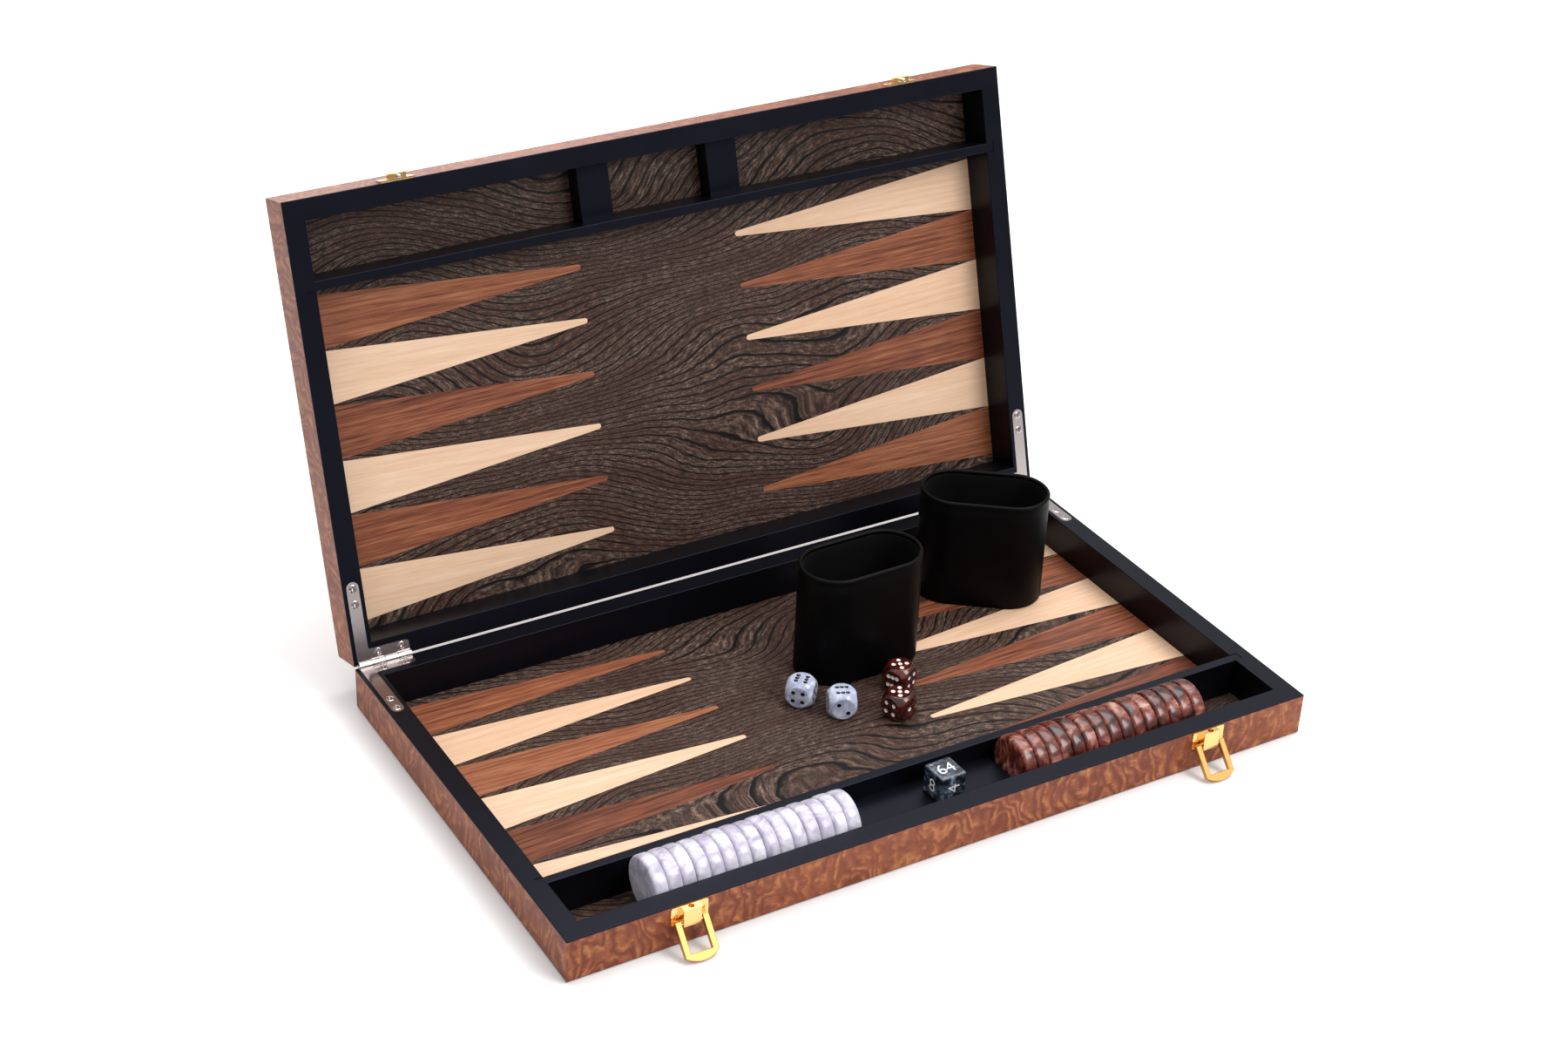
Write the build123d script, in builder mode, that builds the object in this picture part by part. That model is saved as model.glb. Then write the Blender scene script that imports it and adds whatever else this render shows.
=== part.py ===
from build123d import *
import math
import os
import random
from collections import namedtuple

# Backgammon set: two shallow case halves hinged along their back edges, standing open,
# with dice cups, dice, a doubling cube and checkers.  Millimetres.
# Origin: centre of the lower half's underside.  +X right, +Y towards the hinges, +Z up.

# ---- case ----
LENGTH = 480.0
DEPTH = 274.4
HEIGHT = 27.0
RAIL = 12.6                 # width of the rim
SIDE_VENEER = 1.2
SKIN = 0.6                  # veneer under the case and on the playing field
LIP = 0.8                   # lacquered edge left above the side veneers
EDGE_ROUND = 1.1
EDGE_LIFT = 0.1             # side veneers stop this far above the table
EDGE_SOFT = 0.45            # rounding along the lacquered edges
WELL = 23.7                 # playing field below the rim
PANEL_TOP = -(WELL + SKIN)
PANEL_BOTTOM = -(HEIGHT - SKIN)
INNER_X = LENGTH / 2 - RAIL

# ---- points ----
POINT_COUNT = 6
POINT_BASE = 33.0
FIRST_POINT = 17.5          # from the hinge edge to the first point
POINT_APEX = 35.1           # |x| where the two edges of a point would cross
POINT_TIP_R = 1.7

# ---- tray ----
DIVIDER_NEAR = 221.6        # from the hinge edge
DIVIDER = 5.6
DIVIDER_NOTCH = 5.1
DIVIDER_DROP = 0.3
TRAY_NEAR = DIVIDER_NEAR + DIVIDER
TRAY_FAR = DEPTH - RAIL
BLOCK_DROP = 11.6           # tops of the tray blocks below the rim
PLATFORM = 102.0
LID_BLOCK = 21.0
LID_BLOCK_X = 43.5

# ---- hinges ----
OPENING = 106.3             # lid angle at rest, from closed
AXIS_BACK = 0.4             # hinge axis behind the back face
AXIS_RISE = 0.4             # hinge axis above the rim
LEAF = 1.4
LEAF_EDGE = 2.4             # from the case's side to the leaf
LEAF_BACK = 1.0
LEAF_ARM = 7.6
LEAF_LONG = 50.7
LEAF_SHORT = 33.0
KNUCKLES = 4
KNUCKLE_R = 2.75
KNUCKLE_GAP = 0.3
KNUCKLE_WEB = 2.5           # how far a knuckle's root reaches into its leaf
PIN_R = 1.25
PIN_CHAMFER = 0.3
LEAF_HEEL_R = 2.6
LEAF_CROTCH_R = 1.0
RUNNING = 0.05              # radial clearance of the pins
POCKET_FIT = 0.25
KNUCKLE_POCKET_FIT = 0.35
HOLE_FIT = 0.02             # slack round screws and pressed pins
BORE_FIT = 0.05             # slack round screws in the metal
HINGE_SCREWS = [(3.8, 46.6), (3.8, 36.8), (13.4, 5.6), (28.0, 5.6)]
SCREW_HEAD_R = 2.5
SCREW_R = 1.2
SCREW_LENGTH = 9.0
CROSS_SPAN = 1.3            # cross recess, in head radii
CROSS_ARM = 0.3
CROSS_DEPTH = 0.5           # share of the head's cone

# ---- latches ----
LATCH_X = 169.3
LATCH_SETBACK = 1.0         # latch plates below the rim
PLATE_WIDTH = 22.0
PLATE = 1.0
PLATE_CORNER = 1.0
PLATE_HEIGHT = 11.0
CATCH_PLATE_HEIGHT = 7.0
LATCH_WIDTH = 10.8
LATCH_HEIGHT = 11.3
LATCH_PROUD = 4.7
LATCH_EDGE = 0.35
CATCH_EDGE = 0.5
CATCH_HEIGHT = 3.4
DOWEL_OUT = 2.5             # locating pin's axis from the case face
DOWEL_R = 1.3
DOWEL_REACH = 3.6
DOWEL_SEAT = 1.6
DOWEL_NOSE = 0.8
SOCKET_R = 1.6
SOCKET_DEEP = 4.5
LATCH_SCREW_X = 8.3
LATCH_SCREW_DOWN = 5.6
LATCH_SCREW_HEAD_R = 1.5
LATCH_SCREW_R = 0.8
LATCH_SCREW_LENGTH = 6.0

# ---- bails ----
BAIL_OUT = 3.6              # pivot from the case face
BAIL_Z = 16.5
BAIL_REST = 41.5            # degrees out from hanging straight down
BAIL_WIDTH = 20.0
BAIL_WINDOW = 12.6
BAIL_THICK = 2.2
BAIL_TOP = 1.8
BAIL_INNER = 16.0
BAIL_CORNER = 17.4
BAIL_TIP = 20.9
BAIL_BEVEL = 0.35
BAIL_PIN_R = 0.5
BAIL_PIN_LENGTH = 19.2

# ---- loose pieces ----
REST_GAP = 0.05
CUP_LENGTH = 80.5
CUP_WIDTH = 44.5
CUP_HEIGHT = 73.5
CUP_WALL = 2.2
CUP_FLOOR = 3.0
CUP_RIM_ROUND = 0.9
CUP_FOOT_ROUND = 1.0
LINING = 0.9
LINING_DROP = 2.5
CUPS = {"left": (45.8, 44.2, 1.0), "right": (156.7, 76.1, -36.4)}      # x, y, turn
DIE = 16.6
DIE_ROUND = 1.7
DIE_BALL = 10.75            # the dice's corners are turned to this radius
DICE = {
    "white_die_left": (-7.3, 19.1, 44.0),
    "white_die_right": (7.9, -1.5, 67.0),
    "brown_die_back": (52.9, 5.8, 27.0),
    "brown_die_front": (37.1, -18.5, 15.0),
}
CUBE = 17.0
CUBE_PLACE = (8.8, -107.4, 2.0)
CUBE_ROUND = 0.9
CHECKER_R = 16.5
CHECKER = 8.35
CHECKER_PITCH = 8.46
CHECKER_ROUND = 1.2
CHECKER_FLOAT = 0.3         # clearance under a round edge
CHECKER_SIDE_GAP = 0.3      # least clearance to the tray's sides
CHECKER_UNEVEN = 0.5        # how much higher a checker may sit than its neighbour
STACK = 5                   # checkers in one lifted stack
ROWS = {"white": (-181.0, 3), "brown": (53.0, 8)}      # first x, seed of the uneven places

Half = namedtuple("Half", "name plane s")

AXIS_Y = DEPTH / 2 + AXIS_BACK
AXIS_Z = HEIGHT + AXIS_RISE
SWING = math.radians(OPENING)
LID_UP = Vector(0, -math.cos(SWING), math.sin(SWING))
LID_OUT = Vector(0, -math.sin(SWING), -math.cos(SWING))
LID_ORIGIN = Vector(0, AXIS_Y, AXIS_Z) + LID_UP * AXIS_BACK - LID_OUT * AXIS_RISE

# Each half has a plane on its rim: x to the right, z out of the well, and s gives the
# direction along y that leads away from the hinge edge.
BASE = Half("base", Plane(origin=(0, DEPTH / 2, HEIGHT), x_dir=(1, 0, 0), z_dir=(0, 0, 1)), -1)
LID = Half("lid", Plane(origin=LID_ORIGIN, x_dir=(1, 0, 0), z_dir=LID_OUT), 1)

FIELD_Z = HEIGHT - WELL     # playing field of the lower half, above the table


def save(part, name):
    """Label one finished piece and write its STEP file."""
    part.label = name
    export_step(part, f"parts/{name}.step")


def rim_prism(half, outline, z_low, z_high, mode=Mode.ADD):
    """Prism on a half's rim plane: outline in (x, distance from the hinge edge)."""
    with BuildSketch(half.plane.offset(z_low)) as section:
        with BuildLine():
            Polyline([(x, half.s * d) for x, d in outline], close=True)
        make_face()
    extrude(section.sketch, amount=z_high - z_low, mode=mode)


def rectangle(x_low, x_high, d_low, d_high):
    return [(x_low, d_low), (x_high, d_low), (x_high, d_high), (x_low, d_high)]


def side_strip(side, inset, width):
    """Mitred outline of one side of the case, its outer edge inset from the case's edge."""
    x_out = LENGTH / 2 - inset
    x_in = x_out - width
    near, far = inset, DEPTH - inset
    strips = {
        "back": [(-x_out, near), (x_out, near), (x_in, near + width), (-x_in, near + width)],
        "front": [(-x_out, far), (x_out, far), (x_in, far - width), (-x_in, far - width)],
        "left": [(-x_out, near), (-x_in, near + width), (-x_in, far - width), (-x_out, far)],
        "right": [(x_out, near), (x_in, near + width), (x_in, far - width), (x_out, far)],
    }
    return strips[side]


def leaf_sketch(half, hand, grow=0.0):
    """L-shaped hinge leaf with rounded ends, at the depth of the leaf's underside."""
    corner = LENGTH / 2 - LEAF_EDGE + grow
    near = LEAF_BACK - grow
    arm = LEAF_ARM + 2 * grow
    far = LEAF_LONG + grow
    short = LEAF_SHORT + 2 * grow
    flats = [(0, near), (short, near), (short, near + arm), (arm, near + arm), (arm, far), (0, far)]
    points = [(hand * (corner - along), half.s * d) for along, d in flats]
    full = arm / 2 - 0.05
    rounds = [(points[2], LEAF_HEEL_R), (points[3], LEAF_CROTCH_R), (points[4], full), (points[5], full)]
    with BuildSketch(half.plane.offset(-LEAF)) as leaf:
        with BuildLine():
            Polyline(points, close=True)
        make_face()
        for place, radius in rounds:
            fillet(leaf.vertices().sort_by_distance((*place, 0))[0], radius)
    return leaf.sketch


def knuckle_plane(x):
    return Plane(origin=(x, AXIS_Y, AXIS_Z), z_dir=(1, 0, 0))


def axis_cylinder(x_low, x_high, radius, mode):
    """Cylinder on the hinge axis."""
    with BuildSketch(knuckle_plane(x_low)) as disc:
        Circle(radius)
    extrude(disc.sketch, amount=x_high - x_low, mode=mode)


def knuckle_span(hand):
    outer = LENGTH / 2 - LEAF_EDGE
    ends = (hand * outer, hand * (outer - LEAF_SHORT))
    return min(ends), max(ends)


def cut_hinge_pockets(half):
    """Recesses for both leaves, their knuckles and their screws."""
    for hand in (-1, 1):
        extrude(leaf_sketch(half, hand, POCKET_FIT), amount=LEAF + 1, mode=Mode.SUBTRACT)
        low, high = knuckle_span(hand)
        axis_cylinder(low - KNUCKLE_GAP, high + KNUCKLE_GAP, KNUCKLE_R + KNUCKLE_POCKET_FIT,
                      Mode.SUBTRACT)
        with BuildSketch(half.plane.offset(-SCREW_LENGTH)) as holes:
            with Locations(*screw_places(half, hand)):
                Circle(SCREW_R + HOLE_FIT)
        extrude(holes.sketch, amount=SCREW_LENGTH, mode=Mode.SUBTRACT)


def screw_places(half, hand):
    corner = LENGTH / 2 - LEAF_EDGE
    return [(hand * (corner - along), half.s * d) for along, d in HINGE_SCREWS]


def soften(part, half, lengthways):
    """Round the edges of a part's top face that run along x, or the ones that run across."""
    top = part.faces().sort_by(Axis((0, 0, 0), half.plane.z_dir))[-1]
    run = half.plane.x_dir if lengthways else half.plane.y_dir
    fillet(top.edges().filter_by(Axis((0, 0, 0), run)), EDGE_SOFT)


def make_rails(half):
    for side in ("front", "back", "left", "right"):
        with BuildPart() as rail:
            rim_prism(half, side_strip(side, 0, RAIL), -LIP, 0)
            rim_prism(half, side_strip(side, SIDE_VENEER, RAIL - SIDE_VENEER), PANEL_TOP, -LIP)
            soften(rail, half, lengthways=side in ("front", "back"))
            if side != "front":
                cut_hinge_pockets(half)
            if side in ("left", "right"):
                reach = INNER_X + DIVIDER_NOTCH
                slot = rectangle(-reach, reach, DIVIDER_NEAR, DIVIDER_NEAR + DIVIDER)
                rim_prism(half, slot, -WELL, 1, Mode.SUBTRACT)
            if side == "front":
                cut_latch_screws(half)
        save(rail.part, f"{half.name}_{side}_rail")


def make_side_veneers(half):
    """Veneer wrapped round the four sides, rounded along the case's outer bottom edge."""
    with BuildPart() as veneers:
        rim_prism(half, footprint(0), -HEIGHT + EDGE_LIFT, -LIP)
        fillet(veneers.edges().group_by(Axis((0, 0, 0), half.plane.z_dir))[0], EDGE_ROUND)
        rim_prism(half, footprint(SIDE_VENEER), -HEIGHT - 1, 0, Mode.SUBTRACT)
        cut_hinge_pockets(half)
        cut_latch_screws(half)
    save(veneers.part, f"{half.name}_side_veneers")


def footprint(inset):
    return rectangle(-LENGTH / 2 + inset, LENGTH / 2 - inset, inset, DEPTH - inset)


def make_panel(half):
    with BuildPart() as panel:
        rim_prism(half, footprint(SIDE_VENEER), PANEL_BOTTOM, PANEL_TOP)
    save(panel.part, f"{half.name}_panel")
    with BuildPart() as skin:
        rim_prism(half, footprint(SIDE_VENEER), -HEIGHT, PANEL_BOTTOM)
    save(skin.part, f"{half.name}_outer_veneer")


def point_prisms(half, parity, mode=Mode.ADD):
    """Every second point on each side; parity 0 starts the left side at the hinge."""
    for hand in (-1, 1):
        start = parity if hand < 0 else 1 - parity
        for k in range(start, POINT_COUNT, 2):
            near = FIRST_POINT + k * POINT_BASE
            middle = half.s * (near + POINT_BASE / 2)
            with BuildSketch(half.plane.offset(PANEL_TOP)) as point:
                with BuildLine():
                    Polyline(
                        (hand * INNER_X, half.s * near),
                        (hand * POINT_APEX, middle),
                        (hand * INNER_X, half.s * (near + POINT_BASE)),
                        close=True,
                    )
                make_face()
                fillet(point.vertices().sort_by(Axis.X)[0 if hand > 0 else -1], POINT_TIP_R)
            extrude(point.sketch, amount=SKIN, mode=mode)


def make_field(half):
    # the lid's colours run the other way round from its hinge edge
    walnut = 0 if half is BASE else 1
    with BuildPart() as field:
        rim_prism(half, rectangle(-INNER_X, INNER_X, RAIL, TRAY_FAR), PANEL_TOP, -WELL)
        point_prisms(half, 0, Mode.SUBTRACT)
        point_prisms(half, 1, Mode.SUBTRACT)
    save(field.part, f"{half.name}_field_veneer")
    with BuildPart() as dark:
        point_prisms(half, walnut)
    save(dark.part, f"{half.name}_walnut_points")
    with BuildPart() as light:
        point_prisms(half, 1 - walnut)
    save(light.part, f"{half.name}_maple_points")


def make_divider(half):
    reach = INNER_X + DIVIDER_NOTCH
    with BuildPart() as divider:
        slot = rectangle(-reach, reach, DIVIDER_NEAR, DIVIDER_NEAR + DIVIDER)
        rim_prism(half, slot, -WELL, -DIVIDER_DROP)
        soften(divider, half, lengthways=True)
    save(divider.part, f"{half.name}_tray_divider")


def tray_block(half, centre, width, name):
    with BuildPart() as block:
        outline = rectangle(centre - width / 2, centre + width / 2, TRAY_NEAR, TRAY_FAR)
        rim_prism(half, outline, -WELL, -BLOCK_DROP)
        soften(block, half, lengthways=False)
    save(block.part, name)


def make_hinge_leaf(half, hand, side_name):
    """L-shaped plate with every second knuckle of the hinge."""
    low, high = knuckle_span(hand)
    step = (high - low) / KNUCKLES
    first = 0 if half is BASE else 1
    with BuildPart() as leaf:
        extrude(leaf_sketch(half, hand), amount=LEAF)
        axis_cylinder(low - 1, high + 1, KNUCKLE_R + KNUCKLE_GAP, Mode.SUBTRACT)
        for k in range(first, KNUCKLES, 2):
            near_end = hand * (LENGTH / 2 - LEAF_EDGE) - hand * k * step
            far_end = near_end - hand * step
            x_low = min(near_end, far_end) + KNUCKLE_GAP / 2
            x_high = max(near_end, far_end) - KNUCKLE_GAP / 2
            axis_cylinder(x_low, x_high, KNUCKLE_R, Mode.ADD)
            root = rectangle(x_low, x_high, LEAF_BACK, LEAF_BACK + KNUCKLE_WEB)
            rim_prism(half, root, -LEAF, 0)
        axis_cylinder(low - 1, high + 1, PIN_R + RUNNING, Mode.SUBTRACT)
        with Locations(half.plane):
            with Locations(*screw_places(half, hand)):
                CounterSinkHole(SCREW_R + BORE_FIT, SCREW_HEAD_R, depth=2 * LEAF,
                                counter_sink_angle=90)
    save(leaf.part, f"{half.name}_hinge_leaf_{side_name}")


def make_hinge_pin(hand, side_name):
    low, high = knuckle_span(hand)
    with BuildPart() as pin:
        axis_cylinder(low + KNUCKLE_GAP / 2, high - KNUCKLE_GAP / 2, PIN_R, Mode.ADD)
        chamfer(pin.edges().filter_by(GeomType.CIRCLE), PIN_CHAMFER)
    save(pin.part, f"hinge_pin_{side_name}")


def make_screws(plane, places, head_r, shank_r, length, name):
    """Countersunk cross-head screws whose heads are flush with the plane."""
    cone = head_r - shank_r
    with BuildPart() as group:
        with BuildSketch(plane):
            with Locations(*places):
                Circle(shank_r)
        extrude(amount=-length)
        with BuildSketch(plane):
            with Locations(*places):
                Circle(head_r - HOLE_FIT)
        extrude(amount=-cone, taper=45)
        with BuildSketch(plane):
            with Locations(*places):
                for spin in (30, 120):
                    Rectangle(CROSS_SPAN * head_r, CROSS_ARM * head_r, rotation=spin)
        extrude(amount=-CROSS_DEPTH * cone, mode=Mode.SUBTRACT)
    save(group.part, name)


def front_plane(half):
    """Plane on the half's front face: z outwards, s * distance from the rim along y."""
    origin = half.plane.from_local_coords((0, half.s * DEPTH, 0))
    return Plane(origin=origin, x_dir=(1, 0, 0), z_dir=half.plane.y_dir * half.s)


def latch_screw_places(half):
    y = half.s * LATCH_SCREW_DOWN
    return [(c + dx, y) for c in (-LATCH_X, LATCH_X) for dx in (-LATCH_SCREW_X, LATCH_SCREW_X)]


def cut_latch_screws(half):
    with BuildSketch(front_plane(half)) as holes:
        with Locations(*latch_screw_places(half)):
            Circle(LATCH_SCREW_R + HOLE_FIT)
    extrude(holes.sketch, amount=-LATCH_SCREW_LENGTH, mode=Mode.SUBTRACT)


def latch_plate(half, centre, plate_height, block_height):
    """Screwed plate with its raised block, on the front face of a half."""
    face = front_plane(half)
    with BuildSketch(face) as plate:
        with Locations((centre, half.s * (LATCH_SETBACK + plate_height / 2))):
            RectangleRounded(PLATE_WIDTH, plate_height, PLATE_CORNER)
    extrude(plate.sketch, amount=PLATE)
    with BuildSketch(face) as block:
        with Locations((centre, half.s * (LATCH_SETBACK + block_height / 2))):
            Rectangle(LATCH_WIDTH, block_height)
    extrude(block.sketch, amount=LATCH_PROUD)
    places = [(x, y) for x, y in latch_screw_places(half) if abs(x - centre) < PLATE_WIDTH / 2]
    with Locations(face.offset(PLATE)):
        with Locations(*places):
            CounterSinkHole(LATCH_SCREW_R + BORE_FIT, LATCH_SCREW_HEAD_R, depth=2 * PLATE,
                            counter_sink_angle=90)


def dowel_plane(half, setback):
    """Plane square to the locating pin, at the setback below the rim."""
    return half.plane.offset(-setback)


def make_latch(hand, side_name):
    centre = hand * LATCH_X
    with BuildPart() as latch:
        latch_plate(BASE, centre, PLATE_HEIGHT, LATCH_HEIGHT)
        outer = latch.faces().sort_by(Axis.Y)[0]
        fillet(outer.edges(), LATCH_EDGE)
        with BuildSketch(dowel_plane(BASE, LATCH_SETBACK)):
            with Locations((centre, BASE.s * (DEPTH + DOWEL_OUT))):
                Circle(SOCKET_R)
        extrude(amount=-SOCKET_DEEP, mode=Mode.SUBTRACT)
        bail_axis(centre, BAIL_PIN_R + HOLE_FIT, PLATE_WIDTH, Mode.SUBTRACT)
    save(latch.part, f"latch_block_{side_name}")


def make_catch(hand, side_name):
    centre = hand * LATCH_X
    with BuildPart() as catch:
        latch_plate(LID, centre, CATCH_PLATE_HEIGHT, CATCH_HEIGHT)
        outer = catch.faces().sort_by(Axis((0, 0, 0), LID_UP))[-1]
        fillet(outer.edges(), CATCH_EDGE)
        with BuildSketch(dowel_plane(LID, LATCH_SETBACK)):
            with Locations((centre, LID.s * (DEPTH + DOWEL_OUT))):
                Circle(DOWEL_R + HOLE_FIT)
        extrude(amount=-DOWEL_SEAT, mode=Mode.SUBTRACT)
    save(catch.part, f"lid_catch_{side_name}")
    with BuildPart() as dowel:
        with BuildSketch(dowel_plane(LID, LATCH_SETBACK + DOWEL_SEAT)):
            with Locations((centre, LID.s * (DEPTH + DOWEL_OUT))):
                Circle(DOWEL_R)
        extrude(amount=DOWEL_SEAT + DOWEL_REACH)
        fillet(dowel.edges().sort_by(Axis((0, 0, 0), LID_OUT))[-1], DOWEL_NOSE)
    save(dowel.part, f"locating_pin_{side_name}")


BAIL_SWING = math.radians(BAIL_REST)
BAIL_Y = -DEPTH / 2 - BAIL_OUT


def bail_axis(centre, radius, length, mode):
    """Cylinder on the bail's pivot axis."""
    end = Plane(origin=(centre - length / 2, BAIL_Y, BAIL_Z), z_dir=(1, 0, 0))
    with BuildSketch(end) as disc:
        Circle(radius)
    extrude(disc.sketch, amount=length, mode=mode)


def make_bail(hand, side_name):
    """U-shaped bail with square arms and a bowed crossbar."""
    centre = hand * LATCH_X
    outward = Vector(0, -math.cos(BAIL_SWING), math.sin(BAIL_SWING))
    half_w, half_in = BAIL_WIDTH / 2, BAIL_WINDOW / 2
    with BuildPart() as bail:
        with BuildSketch(Plane(origin=(centre, BAIL_Y, BAIL_Z), x_dir=(1, 0, 0), z_dir=outward)):
            with BuildLine():
                Polyline((-half_in, -BAIL_INNER), (-half_in, BAIL_TOP), (-half_w, BAIL_TOP),
                         (-half_w, -BAIL_CORNER))
                ThreePointArc((-half_w, -BAIL_CORNER), (0, -BAIL_TIP), (half_w, -BAIL_CORNER))
                Polyline((half_w, -BAIL_CORNER), (half_w, BAIL_TOP), (half_in, BAIL_TOP),
                         (half_in, -BAIL_INNER), (-half_in, -BAIL_INNER))
            make_face()
        extrude(amount=BAIL_THICK / 2, both=True)
        chamfer(bail.faces().sort_by(Axis((0, 0, 0), outward))[-1].edges(), BAIL_BEVEL)
        bail_axis(centre, BAIL_PIN_R + RUNNING, PLATE_WIDTH, Mode.SUBTRACT)
    save(bail.part, f"bail_{side_name}")
    with BuildPart() as pin:
        bail_axis(centre, BAIL_PIN_R, BAIL_PIN_LENGTH, Mode.ADD)
    save(pin.part, f"bail_pin_{side_name}")


def make_cup(x, y, turn, side_name):
    """Dice cup of racetrack section and its felt lining."""
    z = FIELD_Z + REST_GAP
    place = Plane(origin=(x, y, z), x_dir=Vector(1, 0, 0).rotate(Axis.Z, turn), z_dir=(0, 0, 1))
    well = 2 * CUP_WALL
    thin = 2 * (CUP_WALL + LINING)
    with BuildPart() as cup:
        with BuildSketch(place):
            SlotOverall(CUP_LENGTH, CUP_WIDTH)
        extrude(amount=CUP_HEIGHT)
        with BuildSketch(place.offset(CUP_FLOOR)):
            SlotOverall(CUP_LENGTH - well, CUP_WIDTH - well)
        extrude(amount=CUP_HEIGHT, mode=Mode.SUBTRACT)
        fillet(cup.faces().sort_by(Axis.Z)[-1].edges(), CUP_RIM_ROUND)
        fillet(cup.faces().sort_by(Axis.Z)[0].edges(), CUP_FOOT_ROUND)
    save(cup.part, f"dice_cup_{side_name}")
    with BuildPart() as lining:
        with BuildSketch(place.offset(CUP_FLOOR)):
            SlotOverall(CUP_LENGTH - well, CUP_WIDTH - well)
        extrude(amount=CUP_HEIGHT - CUP_FLOOR - LINING_DROP)
        with BuildSketch(place.offset(CUP_FLOOR + LINING)):
            SlotOverall(CUP_LENGTH - thin, CUP_WIDTH - thin)
        extrude(amount=CUP_HEIGHT, mode=Mode.SUBTRACT)
    save(lining.part, f"cup_lining_{side_name}")


def make_cube(place, z, size, rounding, name, ball=None):
    """Rounded cube; a ball radius takes its corners back further."""
    x, y, turn = place
    place = Plane(origin=(x, y, z), x_dir=Vector(1, 0, 0).rotate(Axis.Z, turn), z_dir=(0, 0, 1))
    with BuildPart() as cube:
        with BuildSketch(place):
            Rectangle(size, size)
        extrude(amount=size)
        fillet(cube.edges(), rounding)
        if ball:
            with Locations(place.offset(size / 2)):
                Sphere(ball, mode=Mode.INTERSECT)
    save(cube.part, name)


def make_checkers(start, colour, seed):
    """A row of checkers standing on edge in the tray, in stacks that lift out together."""
    shake = random.Random(seed)
    middle = DEPTH / 2 - (TRAY_NEAR + TRAY_FAR) / 2
    slack = (TRAY_FAR - TRAY_NEAR) / 2 - CHECKER_R - CHECKER_SIDE_GAP
    x = start
    for name in ("left", "middle", "right"):
        with BuildPart() as stack:
            for _ in range(STACK):
                y = middle + shake.uniform(-slack, slack)
                z = FIELD_Z + CHECKER_FLOAT + CHECKER_R + shake.uniform(0, CHECKER_UNEVEN)
                with BuildSketch(Plane(origin=(x, y, z), z_dir=(1, 0, 0))):
                    Circle(CHECKER_R)
                extrude(amount=CHECKER)
                x += CHECKER_PITCH
            fillet(stack.edges().filter_by(GeomType.CIRCLE), CHECKER_ROUND)
        save(stack.part, f"{colour}_checkers_{name}")


os.makedirs("parts", exist_ok=True)

for half in (BASE, LID):
    make_rails(half)
    make_side_veneers(half)
    make_panel(half)
    make_field(half)
    make_divider(half)
    hinge_places = screw_places(half, -1) + screw_places(half, 1)
    make_screws(half.plane, hinge_places, SCREW_HEAD_R, SCREW_R, SCREW_LENGTH,
                f"{half.name}_hinge_screws")
    make_screws(front_plane(half).offset(PLATE), latch_screw_places(half), LATCH_SCREW_HEAD_R,
                LATCH_SCREW_R, LATCH_SCREW_LENGTH, f"{half.name}_latch_screws")

tray_block(BASE, 0, PLATFORM, "base_cube_platform")
tray_block(LID, -LID_BLOCK_X, LID_BLOCK, "lid_tray_block_left")
tray_block(LID, LID_BLOCK_X, LID_BLOCK, "lid_tray_block_right")

for hand, side_name in ((-1, "left"), (1, "right")):
    make_hinge_leaf(BASE, hand, side_name)
    make_hinge_leaf(LID, hand, side_name)
    make_hinge_pin(hand, side_name)
    make_latch(hand, side_name)
    make_catch(hand, side_name)
    make_bail(hand, side_name)

for side_name, (x, y, turn) in CUPS.items():
    make_cup(x, y, turn, side_name)

for name, place in DICE.items():
    make_cube(place, FIELD_Z + REST_GAP, DIE, DIE_ROUND, name, DIE_BALL)
make_cube(CUBE_PLACE, HEIGHT - BLOCK_DROP + REST_GAP, CUBE, CUBE_ROUND, "doubling_cube")

for colour, (first_x, seed) in ROWS.items():
    make_checkers(first_x, colour, seed)
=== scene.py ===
"""Backgammon set: an open case with its veneers, hinges and latches, dice cups, dice and checkers.

Shapes are worked out in millimetres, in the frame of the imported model, and put into the meshes in metres.
"""
import math
import random

import bmesh
import bpy
import numpy as np
from mathutils import Matrix


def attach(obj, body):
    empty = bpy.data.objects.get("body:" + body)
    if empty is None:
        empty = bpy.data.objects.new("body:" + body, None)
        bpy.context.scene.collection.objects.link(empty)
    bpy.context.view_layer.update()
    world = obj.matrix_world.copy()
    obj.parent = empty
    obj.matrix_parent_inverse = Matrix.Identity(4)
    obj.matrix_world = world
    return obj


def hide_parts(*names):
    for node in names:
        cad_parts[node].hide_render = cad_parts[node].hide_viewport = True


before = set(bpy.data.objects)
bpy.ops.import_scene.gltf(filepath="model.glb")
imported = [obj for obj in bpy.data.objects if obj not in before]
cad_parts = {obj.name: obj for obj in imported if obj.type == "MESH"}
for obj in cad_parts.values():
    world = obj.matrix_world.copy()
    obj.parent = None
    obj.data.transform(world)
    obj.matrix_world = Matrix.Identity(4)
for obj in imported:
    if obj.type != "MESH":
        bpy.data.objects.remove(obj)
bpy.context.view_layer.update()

MM = 0.001

# ---- the case ----
SIDE = 240.0                # half its length
DEPTH = 274.4
HEIGHT = 27.0
WELL = 23.7                 # playing field below the rim
FIELD_Z = HEIGHT - WELL
POINT_COUNT, POINT_BASE, FIRST_POINT = 6, 33.0, 17.5
TRAY_MIDDLE, TRAY_WIDTH = -107.2, 34.6
PLATFORM_Z = 15.45          # top of the doubling cube's platform
VENEER_EDGE = 0.95          # how far up the sides' dark lower edge reaches
REST_GAP = 0.05             # loose pieces above what they stand on

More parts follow.
